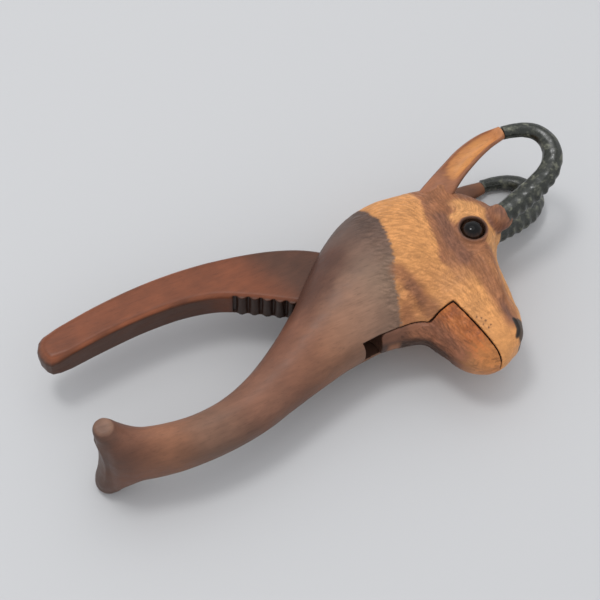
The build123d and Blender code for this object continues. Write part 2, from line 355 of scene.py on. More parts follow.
def surface_of(distance, low, high, step):
    """Points, quads and outward normals of the surface where the distance is zero."""
    low, high = np.array(low, float), np.array(high, float)
    counts = np.ceil((high - low) / (step * BLOCK)).astype(int)
    blocks = np.stack(np.meshgrid(*[np.arange(c) for c in counts], indexing="ij"), -1).reshape(-1, 3)
    centres = low + (blocks + 0.5) * step * BLOCK
    blocks = blocks[np.abs(distance(*centres.T)) < 1.25 * step * BLOCK]
    strides = counts * BLOCK + 2
    ramp = np.arange(BLOCK + 1)
    local = np.stack(np.meshgrid(ramp, ramp, ramp, indexing="ij"), -1)
    cells, corners = [], []
    for part in np.array_split(blocks, max(1, len(blocks) // 400)):
        index = part[:, None, None, None, :] * BLOCK + local
        p = (low + index * step).astype(np.float32)
        value = distance(p[..., 0], p[..., 1], p[..., 2])
        eight = np.stack([value[:, i:BLOCK + i, j:BLOCK + j, k:BLOCK + k] for i, j, k in CORNERS], -1)
        inside = (eight < 0).sum(-1)
        mixed = (inside > 0) & (inside < 8)
        cells.append(index[:, :-1, :-1, :-1][mixed])
        corners.append(eight[mixed])
    cells, corners = np.concatenate(cells), np.concatenate(corners)
    total, hits = np.zeros((len(cells), 3)), np.zeros(len(cells))
    for a, b in EDGES:
        va, vb = corners[:, a], corners[:, b]
        cut = (va < 0) != (vb < 0)
        t = np.where(cut, va / np.where(cut, va - vb, 1), 0)
        total += cut[:, None] * (CORNERS[a] + t[:, None] * (CORNERS[b] - CORNERS[a]))
        hits += cut
    points = low + (cells + total / hits[:, None]) * step
    keys = (cells[:, 0] * strides[1] + cells[:, 1]) * strides[2] + cells[:, 2]
    order = np.argsort(keys)
    keys, points, cells, corners = keys[order], points[order], cells[order], corners[order]
    jumps = np.array([strides[1] * strides[2], strides[2], 1])
    quads = []
    for axis in range(3):
        u, v = jumps[(axis + 1) % 3], jumps[(axis + 2) % 3]
        far = int(np.flatnonzero((CORNERS == np.eye(3, dtype=int)[axis]).all(1))[0])
        out = (corners[:, 0] < 0) & (corners[:, far] >= 0)
        back = (corners[:, 0] >= 0) & (corners[:, far] < 0)
        for mask, ring in ((out, (0, -u, -u - v, -v)), (back, (0, -v, -u - v, -u))):
            wanted = keys[mask][:, None] + np.array(ring)
            found = np.clip(np.searchsorted(keys, wanted), 0, len(keys) - 1)
            quads.append(found[(keys[found] == wanted).all(1)])
    quads = np.concatenate(quads)
    for _ in range(3):
        g = slopes(distance, points)
        off = distance(*points.T) / np.maximum((g * g).sum(1), 0.2)
        points = points - np.clip(off, -0.5 * step, 0.5 * step)[:, None] * g
    g = slopes(distance, points)
    return points, quads, g / np.maximum(np.linalg.norm(g, axis=1, keepdims=True), 1e-6)


def hashed(i, j, k, seed):
    n = (i * 73856093) ^ (j * 19349663) ^ (k * 83492791) ^ (seed * 2654435761)
    n = (n ^ (n >> 13)) * 1274126177 & 0xFFFFFFFF
    return ((n ^ (n >> 16)) & 0xFFFF) / 32767.5 - 1


def lumps(p, size, seed=0):
    """Smooth noise between -1 and 1; size is a length, or one length for each axis."""
    q = p / np.array(size, float) + seed * 17.3
    i = np.floor(q).astype(np.int64)
    f = q - i
    f = f * f * (3 - 2 * f)
    total = 0
    for a, b, c in CORNERS:
        weight = np.abs(1 - a - f[:, 0]) * np.abs(1 - b - f[:, 1]) * np.abs(1 - c - f[:, 2])
        total = total + weight * hashed(i[:, 0] + a, i[:, 1] + b, i[:, 2] + c, seed)
    return total


def new_piece(name, points_mm, faces, body, slot, material, replaced, **painted):
    """A mesh from points in millimetres from the pivot, with its painted values, riding on a body."""
    mesh = bpy.data.meshes.new(name)
    points = np.asarray(points_mm) * MM + PIVOT
    faces = np.asarray(faces)
    mesh.vertices.add(len(points))
    mesh.vertices.foreach_set("co", points.astype(np.float32).ravel())
    mesh.loops.add(faces.size)
    mesh.loops.foreach_set("vertex_index", faces.astype(np.int32).ravel())
    mesh.polygons.add(len(faces))
    mesh.polygons.foreach_set("loop_start", np.arange(0, faces.size, faces.shape[1], dtype=np.int32))
    mesh.polygons.foreach_set("use_smooth", np.ones(len(faces), bool))
    mesh.update(calc_edges=True)
    mesh.validate()
    for key, value in painted.items():
        if value.ndim == 2:
            attribute = mesh.color_attributes.new(key, "FLOAT_COLOR", "POINT")
            rgba = np.column_stack([value, np.ones(len(value))])
            attribute.data.foreach_set("color", rgba.astype(np.float32).ravel())
        else:
            attribute = mesh.attributes.new(key, "FLOAT", "POINT")
            attribute.data.foreach_set("value", value.astype(np.float32))
    piece = bpy.data.objects.new(name, mesh)
    bpy.context.scene.collection.objects.link(piece)
    mesh.materials.append(material)
    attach(piece, body)
    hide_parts(replaced)


# ---------------------------------------------------------------- the carving


neck_table = smooth_rows(NECK)
muzzle_table = smooth_rows(MUZZLE)
foot_table = smooth_rows(FOOT)


HANDLE_STEPS = 90  # points along each edge of the handle


def handle_outline():
    """The movable handle's outline: its top edge, its end and its bottom edge."""
    middle = smooth_path([row[:2] + (0.0,) + row[2:] for row in HANDLE], HANDLE_STEPS)
    way = np.gradient(middle[:, :2], axis=0)
    way /= np.linalg.norm(way, axis=1, keepdims=True)
    up = np.column_stack([-way[:, 1], way[:, 0]])
    top = middle[:, :2] + up * middle[:, 3:4]
    bottom = middle[:, :2] - up * middle[:, 3:4]
    return np.concatenate([top[::-1], HANDLE_END, bottom])


handle_shape = Outline(handle_outline())
root_shape = Outline(LEVER_ROOT)
mortise_shape = Outline(MORTISE)
jaw_shape = Outline(JAW)
handle_rows = np.array(HANDLE)


def rib_centres(start, towards):
    """Places a rib's pitch apart on a straight line."""
    way = np.array(towards, float) - np.array(start, float)
    way /= np.linalg.norm(way)
    return [np.array(start) + way * (i * RIB_PITCH) for i in range(RIB_COUNT)]


def lever_ribs():
    """The middles of the half-round ribs along the underside of the movable handle."""
    under = handle_outline()[-HANDLE_STEPS:]
    under = under[under[:, 0] > RIBS_START]
    along = np.concatenate([[0.0], np.cumsum(np.hypot(*np.diff(under, axis=0).T))])
    places = FIRST_RIB + RIB_PITCH * np.arange(RIB_COUNT)
    middles = np.column_stack([np.interp(places, along, under[:, axis]) for axis in (0, 1)])
    way = np.gradient(middles, axis=0)
    way /= np.linalg.norm(way, axis=1, keepdims=True)
    return middles + RIB_SINK * np.column_stack([-way[:, 1], way[:, 0]])


LEVER_RIBS = lever_ribs()
NECK_GROOVES = rib_centres((-18.6, -18.0), (-45.4, 15.5))


def blank_distance(x, y, z):
    """The carving with its jaws still joined."""
    side = np.abs(z)
    d = smooth_min(stack_distance(x, y, z, neck_table), stack_distance(y, x, z, muzzle_table), 6.0)
    d = smooth_min(d, rod_distance(x, y, side, *THROAT), 3.5)
    d = smooth_min(d, foot_distance(x, y, z, foot_table), 7.0)
    d = smooth_min(d, ball_distance(x, y, side, *BROW), 3.0)
    left = np.where(z < 0, 1.0, 0.0)
    hx, hy = x - left * LEFT_SHIFT[0], y - left * LEFT_SHIFT[1]
    d = smooth_min(d, ball_distance(hx, hy, side, *BURR), 4.0)
    d = smooth_min(d, rod_distance(hx, hy, side, *EAR_ROOT), 3.5)
    d = smooth_min(d, rod_distance(x, y, side, *CREST), 4.0)
    d = smooth_min(d, ball_distance(x, y, side, *NOSE_PAD), 3.0)
    return smooth_max(d, -rod_distance(x, y, side, *FACE_HOLLOW), 3.5)


def with_nostrils(d, x, y, z):
    """The field with a hooked slit cut into it for each nostril."""
    side = np.abs(z)
    slit = rod_distance(x, y, side, *NOSTRIL)
    hook = rod_distance(x, y, side, *NOSTRIL_HOOK)
    return smooth_max(d, -np.minimum(slit, hook), 0.6)


def body_distance(x, y, z):
    """Head, neck and fixed handle."""
    side = np.abs(z)
    d = with_nostrils(blank_distance(x, y, z), x, y, z)
    from_eye = np.hypot(x - EYE_AT[0], y - EYE_AT[1]) - EYE_RADIUS
    d = smooth_min(d, np.hypot(from_eye - LID_RADIUS, side - LID_Z) - LID_RADIUS, 1.2)
    d = smooth_max(d, -np.maximum(from_eye - EYE_GAP, EYE_SEAT_Z - side), 0.5)
    d = smooth_max(d, -(jaw_shape(x, y) - HALF_SLIT), 0.4)
    floor = mortise_shape(x, y)
    for gx, gy in NECK_GROOVES:
        floor = np.minimum(floor, np.hypot(x - gx, y - gy) - NECK_GROOVE_RADIUS)
    d = smooth_max(d, -np.maximum(floor, side - MORTISE_HALF_WIDTH), 0.9)
    d = smooth_max(d, -ball_distance(x, y, z, *NUT_SEAT), 0.6)
    from_pin = np.hypot(x, y)
    d = np.maximum(d, -np.maximum(from_pin - PLUG_HOLE_RADIUS, PLUG_FLOOR - side))
    return np.maximum(d, PIN_RADIUS - from_pin)


def lever_distance(x, y, z):
    """The movable handle, the part in the mortise and the lower jaw."""
    side = np.abs(z)
    handle = handle_shape(x, y)
    outline = smooth_min(handle, root_shape(x, y), 2.0)
    half = np.interp(x, handle_rows[:, 0], handle_rows[:, 3])
    rounding = np.interp(x, (-147.0, -136.0), (LEVER_END_ROUNDING, LEVER_ROUNDING))
    qa, qb = outline + rounding, side - half + rounding
    bar = np.minimum(np.maximum(qa, qb), 0) + np.hypot(np.maximum(qa, 0), np.maximum(qb, 0)) - rounding
    ribbed = np.maximum(RIBS_START - x, x - RECESS_END)
    recess = np.maximum(np.maximum(-RECESS_DEPTH - handle, ribbed), side - RECESS_HALF_WIDTH)
    bar = smooth_max(bar, -recess, 0.5)
    ribs = np.full(np.shape(x), 1e3)
    for gx, gy in LEVER_RIBS:
        ribs = np.minimum(ribs, np.hypot(x - gx, y - gy) - RIB_RADIUS)
    bar = smooth_min(bar, np.maximum(ribs, side - RIB_HALF_WIDTH), 0.4)

    # Towards the throat the bar keeps within the blank's skin
    skin = blank_distance(x, y, z)
    bar = smooth_max(bar, skin - 3.0 * np.maximum(y + 2.0, 0), 0.6)
    jaw = smooth_max(skin, jaw_shape(x, y) + HALF_SLIT, 0.4)
    d = smooth_min(bar, jaw, 1.0)
    d = smooth_max(d, -ball_distance(x, y, z, *NUT_SEAT), 0.6)
    return np.maximum(d, PIN_RADIUS + PIN_CLEARANCE - np.hypot(x, y))


def plug_distance(x, y, z):
    """The wooden plug over the right end of the pin, carved over with the neck."""
    d = blank_distance(x, y, z)
    d = np.maximum(d - 0.03, np.hypot(x, y) - PLUG_RADIUS - 0.2)
    return np.maximum(d, PLUG_FLOOR + 0.05 - z)


# ---------------------------------------------------------------- fur and stain


def fur_amount(p):
    """How strongly the wood is gouged with fur at each point: 0 on the smooth handles, 1 on the head."""
    edge = np.interp(p[:, 1], [-22, -12, 4, 22, 40, 60], [-8, -12, -11, -7, -4, -6])
    head = smooth_step(-4, 6, p[:, 0] - edge + 2.0 * lumps(p, 6.0, 3))
    muzzle = 1 - 0.55 * smooth_step(-16, -32, p[:, 1]) * smooth_step(22, 26, p[:, 0])
    chin = 1 - 0.8 * smooth_step(-27, -34, p[:, 1]) * smooth_step(24, 20, p[:, 0])
    return head * muzzle * chin


def fur_way(p):
    """The way the fur lies at each point, before it is laid along the surface."""
    away = p - NOSE_TIP
    away[:, 2] *= 0.7
    away /= np.linalg.norm(away, axis=1, keepdims=True)
    back = np.tile(np.array((-0.875, 0.485, 0.0)), (len(p), 1))
    share = smooth_step(28, 8, p[:, 0])[:, None]
    way = away * (1 - share) + back * share
    jaw = (jaw_shape(p[:, 0], p[:, 1]) < 0)[:, None]
    way = np.where(jaw, np.array((-0.2, 0.98, 0.0)), way)
    ex, ey = p[:, 0] - EYE_AT[0], p[:, 1] - EYE_AT[1]
    r = np.hypot(ex, ey) + 1e-6
    ring = np.column_stack([ey / r, -ex / r, np.zeros(len(p))])
    near = smooth_step(17, 8, r)[:, None]
    way = way * (1 - near) + ring * near
    return way / np.maximum(np.linalg.norm(way, axis=1, keepdims=True), 1e-6)


def gouge_fur(p, normals, count, seed):
    """Short gouge strokes that follow the fur: their depth at each point, and a random value per stroke."""
    rng = np.random.default_rng(seed)
    amount = fur_amount(p)
    furry = np.flatnonzero(amount > 0.03)
    groove, lean = np.zeros(len(p)), np.zeros(len(p))
    if not len(furry):
        return groove, lean
    tree = kdtree.KDTree(len(furry))
    for number, i in enumerate(furry):
        tree.insert(p[i], number)
    tree.balance()
    centres = rng.choice(furry, count, p=amount[furry] / amount[furry].sum())
    way = fur_way(p[centres])
    n = normals[centres]
    way -= n * (way * n).sum(1, keepdims=True)
    way /= np.maximum(np.linalg.norm(way, axis=1, keepdims=True), 1e-6)
    across = np.cross(n, way)
    turn = rng.normal(0, 0.16, count)[:, None]
    c, s = np.cos(turn), np.sin(turn)
    way, across = way * c + across * s, across * c - way * s
    sizes = rng.uniform(0.6, 1.35, count)
    bends = rng.normal(0, 0.03, count)
    values = rng.uniform(-1, 1, count)
    for stroke in range(count):
        half = FUR_LENGTH * sizes[stroke] / 2
        found = tree.find_range(p[centres[stroke]], half + FUR_WIDTH)
        index = furry[[f[1] for f in found]]
        offset = p[index] - p[centres[stroke]]
        u = offset @ way[stroke]
        v = offset @ across[stroke] - bends[stroke] * u * u
        taper = np.clip(1 - (u / half) ** 2, 0, 1)
        cut = FUR_DEPTH * (0.55 + 0.45 * sizes[stroke]) * taper * np.exp(-((v / FUR_WIDTH) ** 2))
        deeper = cut > groove[index]
        groove[index[deeper]] = cut[deeper]
        lean[index[deeper]] = values[stroke]
    return groove * amount, lean


# Stain colours, and one painted shade, as scene-linear RGB
PALE = np.array((0.73, 0.325, 0.108))
PEACH = np.array((0.78, 0.370, 0.135))
CHEEK = np.array((0.54, 0.235, 0.098))
RUSSET = np.array((0.38, 0.150, 0.066))
UMBER = np.array((0.215, 0.092, 0.056))
WORN = np.array((0.270, 0.150, 0.100))
JAW_ORANGE = np.array((0.410, 0.112, 0.024))
# Painted shade for the wood inside the mortise and the mouth
PAINTED_INSIDE_SHADE = np.array((0.060, 0.028, 0.018))
LEVER_RED = np.array((0.180, 0.053, 0.022))
LEVER_DARK = np.array((0.068, 0.033, 0.021))
BLACKISH = np.array((0.020, 0.013, 0.010))


def mix(a, b, share):
    """Stain a with a share of stain b over it, point by point."""
    share = np.clip(share, 0, 1)[:, None]
    return a * (1 - share) + b * share


def line_distance(x, y, points):
    """Distance in the mid-plane to an open line."""
    best = np.full(len(x), 1e9)
    for (ax, ay), (bx, by) in zip(points[:-1], points[1:]):
        wx, wy = bx - ax, by - ay
        t = np.clip(((x - ax) * wx + (y - ay) * wy) / (wx * wx + wy * wy), 0, 1)
        best = np.minimum(best, np.hypot(x - ax - t * wx, y - ay - t * wy))
    return best


# Edges of the pale band, as y and the edge's x there
BAND_LEFT = np.array([
    (-30, -9.5), (-15.7, -8.7), (-10, -5.7), (-3, -4), (4, -2.2),
    (13, 2.1), (22, 4.2), (31, 5.8), (40, 4.6), (60, 3),
])
BAND_RIGHT = np.array([(-10, 22), (5.7, 20), (15, 22.5), (26, 23.8), (37, 27.1), (60, 29)])

# Lines that the stain follows, as x and y
FACE_STRIPE = [
    (33, 40), (35.4, 31.3), (31.6, 15.7), (31, 4), (35.6, -5), (36.8, -14), (36.6, -24), (37.2, -29),
]
BEHIND_EYE = [(31, 23), (29.5, 14), (31.5, 3.5)]
BROWN_PATCH = [(0.8, 6.5), (3.4, 0.5), (6.0, -5.5), (8.2, -11.5)]
FACE_FRONT = [
    (58, 18), (53.8, 9.4), (50.3, 3.2), (48.4, -2.7), (47.3, -9.7), (46.3, -17.5), (45.6, -24), (43.6, -29),
]

# Where the neck and the fixed handle change colour: x, y, and the colour there. The grey, lighter colour at
# (-8.7, 5.0) is a painted sheen, and the one at (-22.0, 2.5) holds some painted sheen over its stains.
NECK_STAINS_AND_SHEEN = [
    (-22.0, 24.0, (0.090, 0.036, 0.023)),
    (-34.0, 16.0, (0.095, 0.038, 0.024)),
    (-3.6, 40.0, (0.125, 0.074, 0.055)),
    (-8.0, 14.0, (0.185, 0.105, 0.074)),
    (-22.0, 2.5, (0.325, 0.165, 0.103)),
    (-8.7, 5.0, (0.285, 0.190, 0.125)),
    (-10.5, -3.2, (0.230, 0.135, 0.094)),
    (-30.0, -4.5, (0.300, 0.160, 0.100)),
    (-40.0, -10.5, (0.320, 0.140, 0.075)),
    (-47.0, 4.0, (0.165, 0.064, 0.038)),
    (-53.0, -10.0, (0.186, 0.079, 0.047)),
    (-75.0, -18.5, (0.218, 0.098, 0.060)),
    (-99.0, -25.0, (0.200, 0.103, 0.066)),
    (-119.0, -22.0, (0.300, 0.128, 0.068)),
    (-134.0, -18.7, (0.215, 0.084, 0.048)),
    (-143.0, -12.0, (0.090, 0.054, 0.040)),
]
STAIN_SPREAD = 8.0
NOSE_BALL = ((46.0, -34.0, 0.0), 13.2)
NOSE_BACK = -28.5
NOSE_FRONT = -37.4
NOSE = np.array((0.046, 0.038, 0.032))
WHISKER_PITS = [(22.6, -23.2), (24.1, -24.4), (23.6, -27.2), (25.2, -26.2), (25.0, -29.4), (26.4, -28.6)]


def neck_stain(x, y):
    """The neck's and handle's stains, with their painted sheen, blended between their named places."""
    total, weights = np.zeros((len(x), 3)), np.full(len(x), 1e-9)
    for at_x, at_y, colour in NECK_STAINS_AND_SHEEN:
        weight = np.exp(-((x - at_x) ** 2 + (y - at_y) ** 2) / (2 * STAIN_SPREAD**2)) + 1e-9
        total += weight[:, None] * np.array(colour)
        weights += weight
    return total / weights[:, None]


def head_stain(p, normals, lean):
    """The stained and bare wood of the head and neck, with painted shade on the neck's and handle's sideways
    and downward faces and inside the mortise and mouth, and a painted sheen on the neck; lean moves the
    edges along the fur, hair by hair.
    """
    amount = fur_amount(p)
    q = p + fur_way(p) * (lean * 0.7 * amount)[:, None] + 0.6 * lumps(p, 4.0, 5)[:, None]
    x, y, side = q[:, 0], q[:, 1], np.abs(q[:, 2])
    cloud = lumps(p, 9.0, 11)
    fine = lumps(p, 3.0, 12)

    def near(line, outer, inner):
        """1 within the inner distance of a line, 0 beyond the outer one."""
        return smooth_step(outer, inner, line_distance(x, y, line))

    # Neck and fixed handle
    colour = neck_stain(p[:, 0] + 3 * cloud, p[:, 1] + 3 * fine) * (1 + 0.10 * cloud)[:, None]
    # Painted shade: faces of the neck and handle that turn sideways or down are darkened by 30 %
    painted_flank_shade = smooth_step(0.8, 0.1, normals[:, 2]) * smooth_step(0, -20, x)
    colour = colour * (1 - 0.30 * painted_flank_shade)[:, None]
    facet = smooth_step(FOOT_HALF_WIDTH - 1.4, FOOT_HALF_WIDTH - 0.4, side) * smooth_step(-130, -136, x)
    colour = mix(colour, WORN, facet * (0.40 + 0.45 * smooth_step(-140.0, -136.5, x)))

    # The pale band, browner low down, with a brown patch
    left = x - np.interp(y, BAND_LEFT[:, 0], BAND_LEFT[:, 1])
    right = x - np.interp(y, BAND_RIGHT[:, 0], BAND_RIGHT[:, 1])
    band = smooth_step(-0.9, 0.9, left)
    low = smooth_step(2, -9, y) * smooth_step(7, -2, x)
    colour = mix(colour, mix(PALE, CHEEK, 0.3 + 0.1 * fine), band)
    colour = mix(colour, RUSSET, band * low * 0.85)
    colour = mix(colour, PALE, band * smooth_step(0, 12, y) * 0.75)
    colour = mix(colour, RUSSET * 0.86, near(BROWN_PATCH, 5.6, 1.4) * 0.85)
    colour = mix(colour, UMBER, near(BROWN_PATCH[1:3], 3.2, 0.5) * 0.5)

    # Cheek, crown, upper lip and face
    cheek = smooth_step(-1.0, 3.0, right) * smooth_step(16, 4, y)
    colour = mix(colour, mix(CHEEK, PALE, 0.4 + 0.1 * fine), cheek)
    crown = smooth_step(-0.8, 2.0, right - smooth_step(6, -6, y) * 4) * smooth_step(-7, 7, y)
    colour = mix(colour, mix(UMBER, RUSSET, 0.80 + 0.2 * fine), crown * 0.95)
    lip = smooth_step(-4, -12, y) * smooth_step(16, 19, x) * (1 - smooth_step(30, 35, x) * 0.5)
    colour = mix(colour, PALE, lip * 0.9)
    face = smooth_step(34, 38, x) * smooth_step(10, 4, y) * smooth_step(-34, -24, y)
    colour = mix(colour, RUSSET, face * 0.55)

    # Dark stripe from the crown, behind the eye, down to the nostril
    colour = mix(colour, RUSSET * 0.88, near(FACE_STRIPE, 6.0, 2.0) * smooth_step(2.0, 6.0, side) * 0.86)
    darker = near(FACE_STRIPE, 2.8, 0.6) * smooth_step(4.0, 8.0, side) * smooth_step(-16, -24, y)
    colour = mix(colour, UMBER, darker * 0.95)
    colour = mix(colour, UMBER, near(BEHIND_EYE, 5.5, 1.5) * 0.78)

    # Pale ring over the eye, forehead, pale front edge of the face, dark rim of the eye
    ex, ey = x - EYE_AT[0], y - EYE_AT[1]
    r = np.hypot(ex, ey)
    front = smooth_step(-0.35, 0.15, (ex * 0.82 + ey * 0.57) / np.maximum(r, 1e-3))
    colour = mix(colour, PEACH, smooth_step(13.0, 10.5, r) * smooth_step(6.2, 7.4, r) * front * 0.95)
    ahead = smooth_step(0.45, 0.75, (ex * 0.75 + ey * 0.66) / np.maximum(r, 1e-3))
    colour = mix(colour, PEACH, smooth_step(20.0, 16.0, r) * ahead * 0.95)
    colour = mix(colour, PEACH, near(FACE_FRONT, 3.4, 1.4) * smooth_step(20, 12, y) * 0.9)
    rim = np.hypot(p[:, 0] - EYE_AT[0], p[:, 1] - EYE_AT[1])
    colour = mix(colour, UMBER, smooth_step(7.4, 6.3, rim) * 0.75)
    colour = mix(colour, UMBER * 0.3, smooth_step(6.6, 5.9, rim) * smooth_step(14, 16, side) * 0.9)

    # Burrs, nose, whisker pits and nostrils
    b = p - np.where(p[:, 2:3] < 0, LEFT_SHIFT, 0)
    burr = ball_distance(b[:, 0], b[:, 1], np.abs(b[:, 2]), *BURR)
    colour = mix(colour, mix(UMBER, CHEEK, 0.25 + 0.35 * fine), smooth_step(2.4, 0.6, burr + 0.5 * fine))
    nose = ball_distance(*p.T, *NOSE_BALL) + 0.3 * fine
    nose = smooth_max(smooth_max(nose, p[:, 1] - NOSE_BACK, 2.0), NOSE_FRONT - p[:, 1], 2.0)
    colour = mix(colour, NOSE, smooth_step(0.5, -0.5, nose) * 0.94)
    for pit_x, pit_y in WHISKER_PITS:
        pit = smooth_step(0.55, 0.2, np.hypot(p[:, 0] - pit_x, p[:, 1] - pit_y))
        colour = mix(colour, UMBER * 0.4, pit * 0.9)
    solid = np.full(len(p), -50.0)
    colour = mix(colour, BLACKISH, smooth_step(-1.2, -0.3, with_nostrils(solid, *p.T)))

    # Inside the mortise and the mouth: painted shade, a near-black colour in place of the wood
    hidden = blank_distance(*p.T) < -SKIN
    colour = mix(colour, PAINTED_INSIDE_SHADE * (1.3 + 0.4 * cloud[:, None]), hidden * 1.0)
    return colour * (0.95 + 0.06 * cloud + 0.04 * fine + 0.15 * lean * amount)[:, None]


def jaw_stain(p, normals, lean):
    """The lever: red-brown handle and the orange lower jaw with its darker back; painted shade darkens the
    handle's sides, its ribs, its flanks, the jaw's lower half and the wood in the mortise, and a painted
    highlight lightens the handle's upper rounded edges.
    """
    cloud, fine = lumps(p, 9.0, 21), lumps(p, 3.0, 22)
    x, y, side = p[:, 0], p[:, 1], np.abs(p[:, 2])
    handle = handle_shape(x, y)

    # Handle: streaks along it, sides darkened as painted shade, a painted highlight on its upper rounded
    # edges, dark near the neck, ribs painted darkest as shade, dark end
    colour = mix(LEVER_RED, LEVER_RED * 1.15, 0.5 + 0.5 * lumps(p, (22.0, 5.0, 5.0), 23))
    # Painted shade: the handle's sides, within 2.2 mm of its outline, are darkened
    edge = smooth_step(-2.2, -0.6, handle) * smooth_step(-60, -80, x)
    colour = mix(colour, LEVER_DARK * 1.1, edge * 0.7)
    # Painted highlight: the rounded edges on the handle's upper side are lightened
    painted_edge_highlight = smooth_step(0.20, 0.55, normals[:, 2]) * smooth_step(0.97, 0.80, normals[:, 2])
    colour = mix(colour, LEVER_RED * 1.9, painted_edge_highlight * smooth_step(-62, -80, x) * (0.5 + 0.3 * cloud))
    colour = mix(colour, LEVER_DARK, smooth_step(-56, -40, x + 0.35 * (y - 45)) * 0.8)
    # Painted shade: the ribs under the handle are painted almost black
    under = smooth_step(-5.0, -3.0, handle) * (y < 34 - 0.55 * (x + 60))
    ribs = under * smooth_step(RIBS_START - 2, RIBS_START + 1, x) * smooth_step(7.0, RECESS_HALF_WIDTH, side)
    colour = mix(colour, LEVER_DARK * 0.45, ribs * 0.9)
    colour = mix(colour, LEVER_DARK * 1.2, smooth_step(-142, -146.5, x) * 0.6)

    # Jaw: orange, darker behind, its lower half towards the table darkened as painted shade, pale at the
    # tip, with a spot of bare wood at the throat
    q = p + fur_way(p) * (lean * 2.2)[:, None]
    jx, jy = q[:, 0], q[:, 1]
    across = jx + 0.30 * (jy + 14)
    jaw = mix(JAW_ORANGE, PALE, 0.08 + 0.1 * fine)
    jaw = mix(jaw, UMBER, smooth_step(12.5, 5.5, across) * 0.82)
    jaw = mix(jaw, RUSSET * 0.8, smooth_step(5.0, -3.0, across) * 0.5)
    jaw = mix(jaw, PALE, smooth_step(-31, -39, jy) * 0.45)
    jaw = mix(jaw, mix(UMBER * 0.5, UMBER, 0.4 + 0.3 * fine), smooth_step(2.0, -8.0, jx) * 0.85)
    # Painted shade: the jaw's lower half, towards the table, is darkened
    painted_underside_shade = smooth_step(4.5, 0.5, p[:, 2]) * smooth_step(22, 6, x - 0.35 * (y + 20))
    jaw = mix(jaw, LEVER_DARK * 0.6, painted_underside_shade * 0.88)
    spot = smooth_step(4.0, 1.5, np.hypot(x + 10.0, y + 13.0)) * smooth_step(3, 0, p[:, 2])
    jaw = mix(jaw, RUSSET, spot * 0.6)
    jaw = jaw * (1 + 0.24 * lean)[:, None]

    depth = blank_distance(*p.T)
    colour = mix(colour, jaw, ((depth > -SKIN) & (y < -2.0)) * 1.0)
    # Painted shade: the lever's wood inside the mortise near the pivot is near black
    colour = mix(colour, PAINTED_INSIDE_SHADE * 1.2, ((depth < -SKIN) & (x > -18) & (y < 4.0)) * 1.0)
    # Painted shade: faces of the handle that turn sideways or down are darkened by 26 %
    painted_flank_shade = smooth_step(0.7, 0.1, normals[:, 2]) * smooth_step(-20, -40, x)
    return colour * ((0.94 + 0.08 * cloud + 0.06 * fine) * (1 - 0.26 * painted_flank_shade))[:, None]


# ---------------------------------------------------------------- materials


class Finish:
    """A new material, with short calls for the nodes that the finishes share."""

    def __init__(self, name):
        self.material = bpy.data.materials.new(name)
        self.material.use_nodes = True
        self.nodes, self.links = self.material.node_tree.nodes, self.material.node_tree.links
        self.shader = self.nodes["Principled BSDF"]

    def feed(self, socket, value):
        """Links a node's output to the shader's socket, or sets a plain value on it."""
        if isinstance(value, bpy.types.NodeSocket):
            self.links.new(value, self.shader.inputs[socket])
        else:
            self.shader.inputs[socket].default_value = value

    def painted(self, name, output="Fac"):
        """A value or colour painted on the mesh's points."""
        node = self.nodes.new("ShaderNodeAttribute")
        node.attribute_name = name
        return node.outputs[output]

    def noise(self, stretch, detail, roughness=0.55):
        """Noise in object coordinates; stretch is how many of its cells lie in a metre, for each axis."""
        place = self.nodes.new("ShaderNodeTexCoord")
        mapping = self.nodes.new("ShaderNodeMapping")
        mapping.inputs["Scale"].default_value = stretch
        self.links.new(place.outputs["Object"], mapping.inputs["Vector"])
        node = self.nodes.new("ShaderNodeTexNoise")
        for key, value in (("Scale", 1.0), ("Detail", detail), ("Roughness", roughness)):
            node.inputs[key].default_value = value
        self.links.new(mapping.outputs["Vector"], node.inputs["Vector"])
        return node.outputs["Fac"]

    def ramp(self, source, low, high, low_value, high_value):
        """The source, smoothly mapped from one range to another."""
        node = self.nodes.new("ShaderNodeMapRange")
        node.interpolation_type = "SMOOTHSTEP"
        ends = (("From Min", low), ("From Max", high), ("To Min", low_value), ("To Max", high_value))
        for key, value in ends:
            node.inputs[key].default_value = value
        self.links.new(source, node.inputs["Value"])
        return node.outputs["Result"]

    def sum_or_product(self, operation, a, b):
        """Two values added or multiplied; the second may be a plain number."""
        node = self.nodes.new("ShaderNodeMath")
        node.operation = operation
        self.links.new(a, node.inputs[0])
        if isinstance(b, float):
            node.inputs[1].default_value = b
        else:
            self.links.new(b, node.inputs[1])
        return node.outputs["Value"]

    def plain(self, colour):
        node = self.nodes.new("ShaderNodeRGB")
        node.outputs[0].default_value = colour
        return node.outputs[0]

    def shaded(self, colour, factor):
        """The colour multiplied by a value."""
        node = self.nodes.new("ShaderNodeMix")
        node.data_type, node.blend_type = "RGBA", "MULTIPLY"
        node.inputs["Factor"].default_value = 1.0
        self.links.new(colour, node.inputs["A"])
        grey = self.nodes.new("ShaderNodeCombineColor")
        for channel in ("Red", "Green", "Blue"):
            self.links.new(factor, grey.inputs[channel])
        self.links.new(grey.outputs["Color"], node.inputs["B"])
        return node.outputs["Result"]

    def bump(self, height, strength, depth_mm):
        node = self.nodes.new("ShaderNodeBump")
        node.inputs["Strength"].default_value = strength
        node.inputs["Distance"].default_value = depth_mm * MM
        self.links.new(height, node.inputs["Height"])
        self.feed("Normal", node.outputs["Normal"])


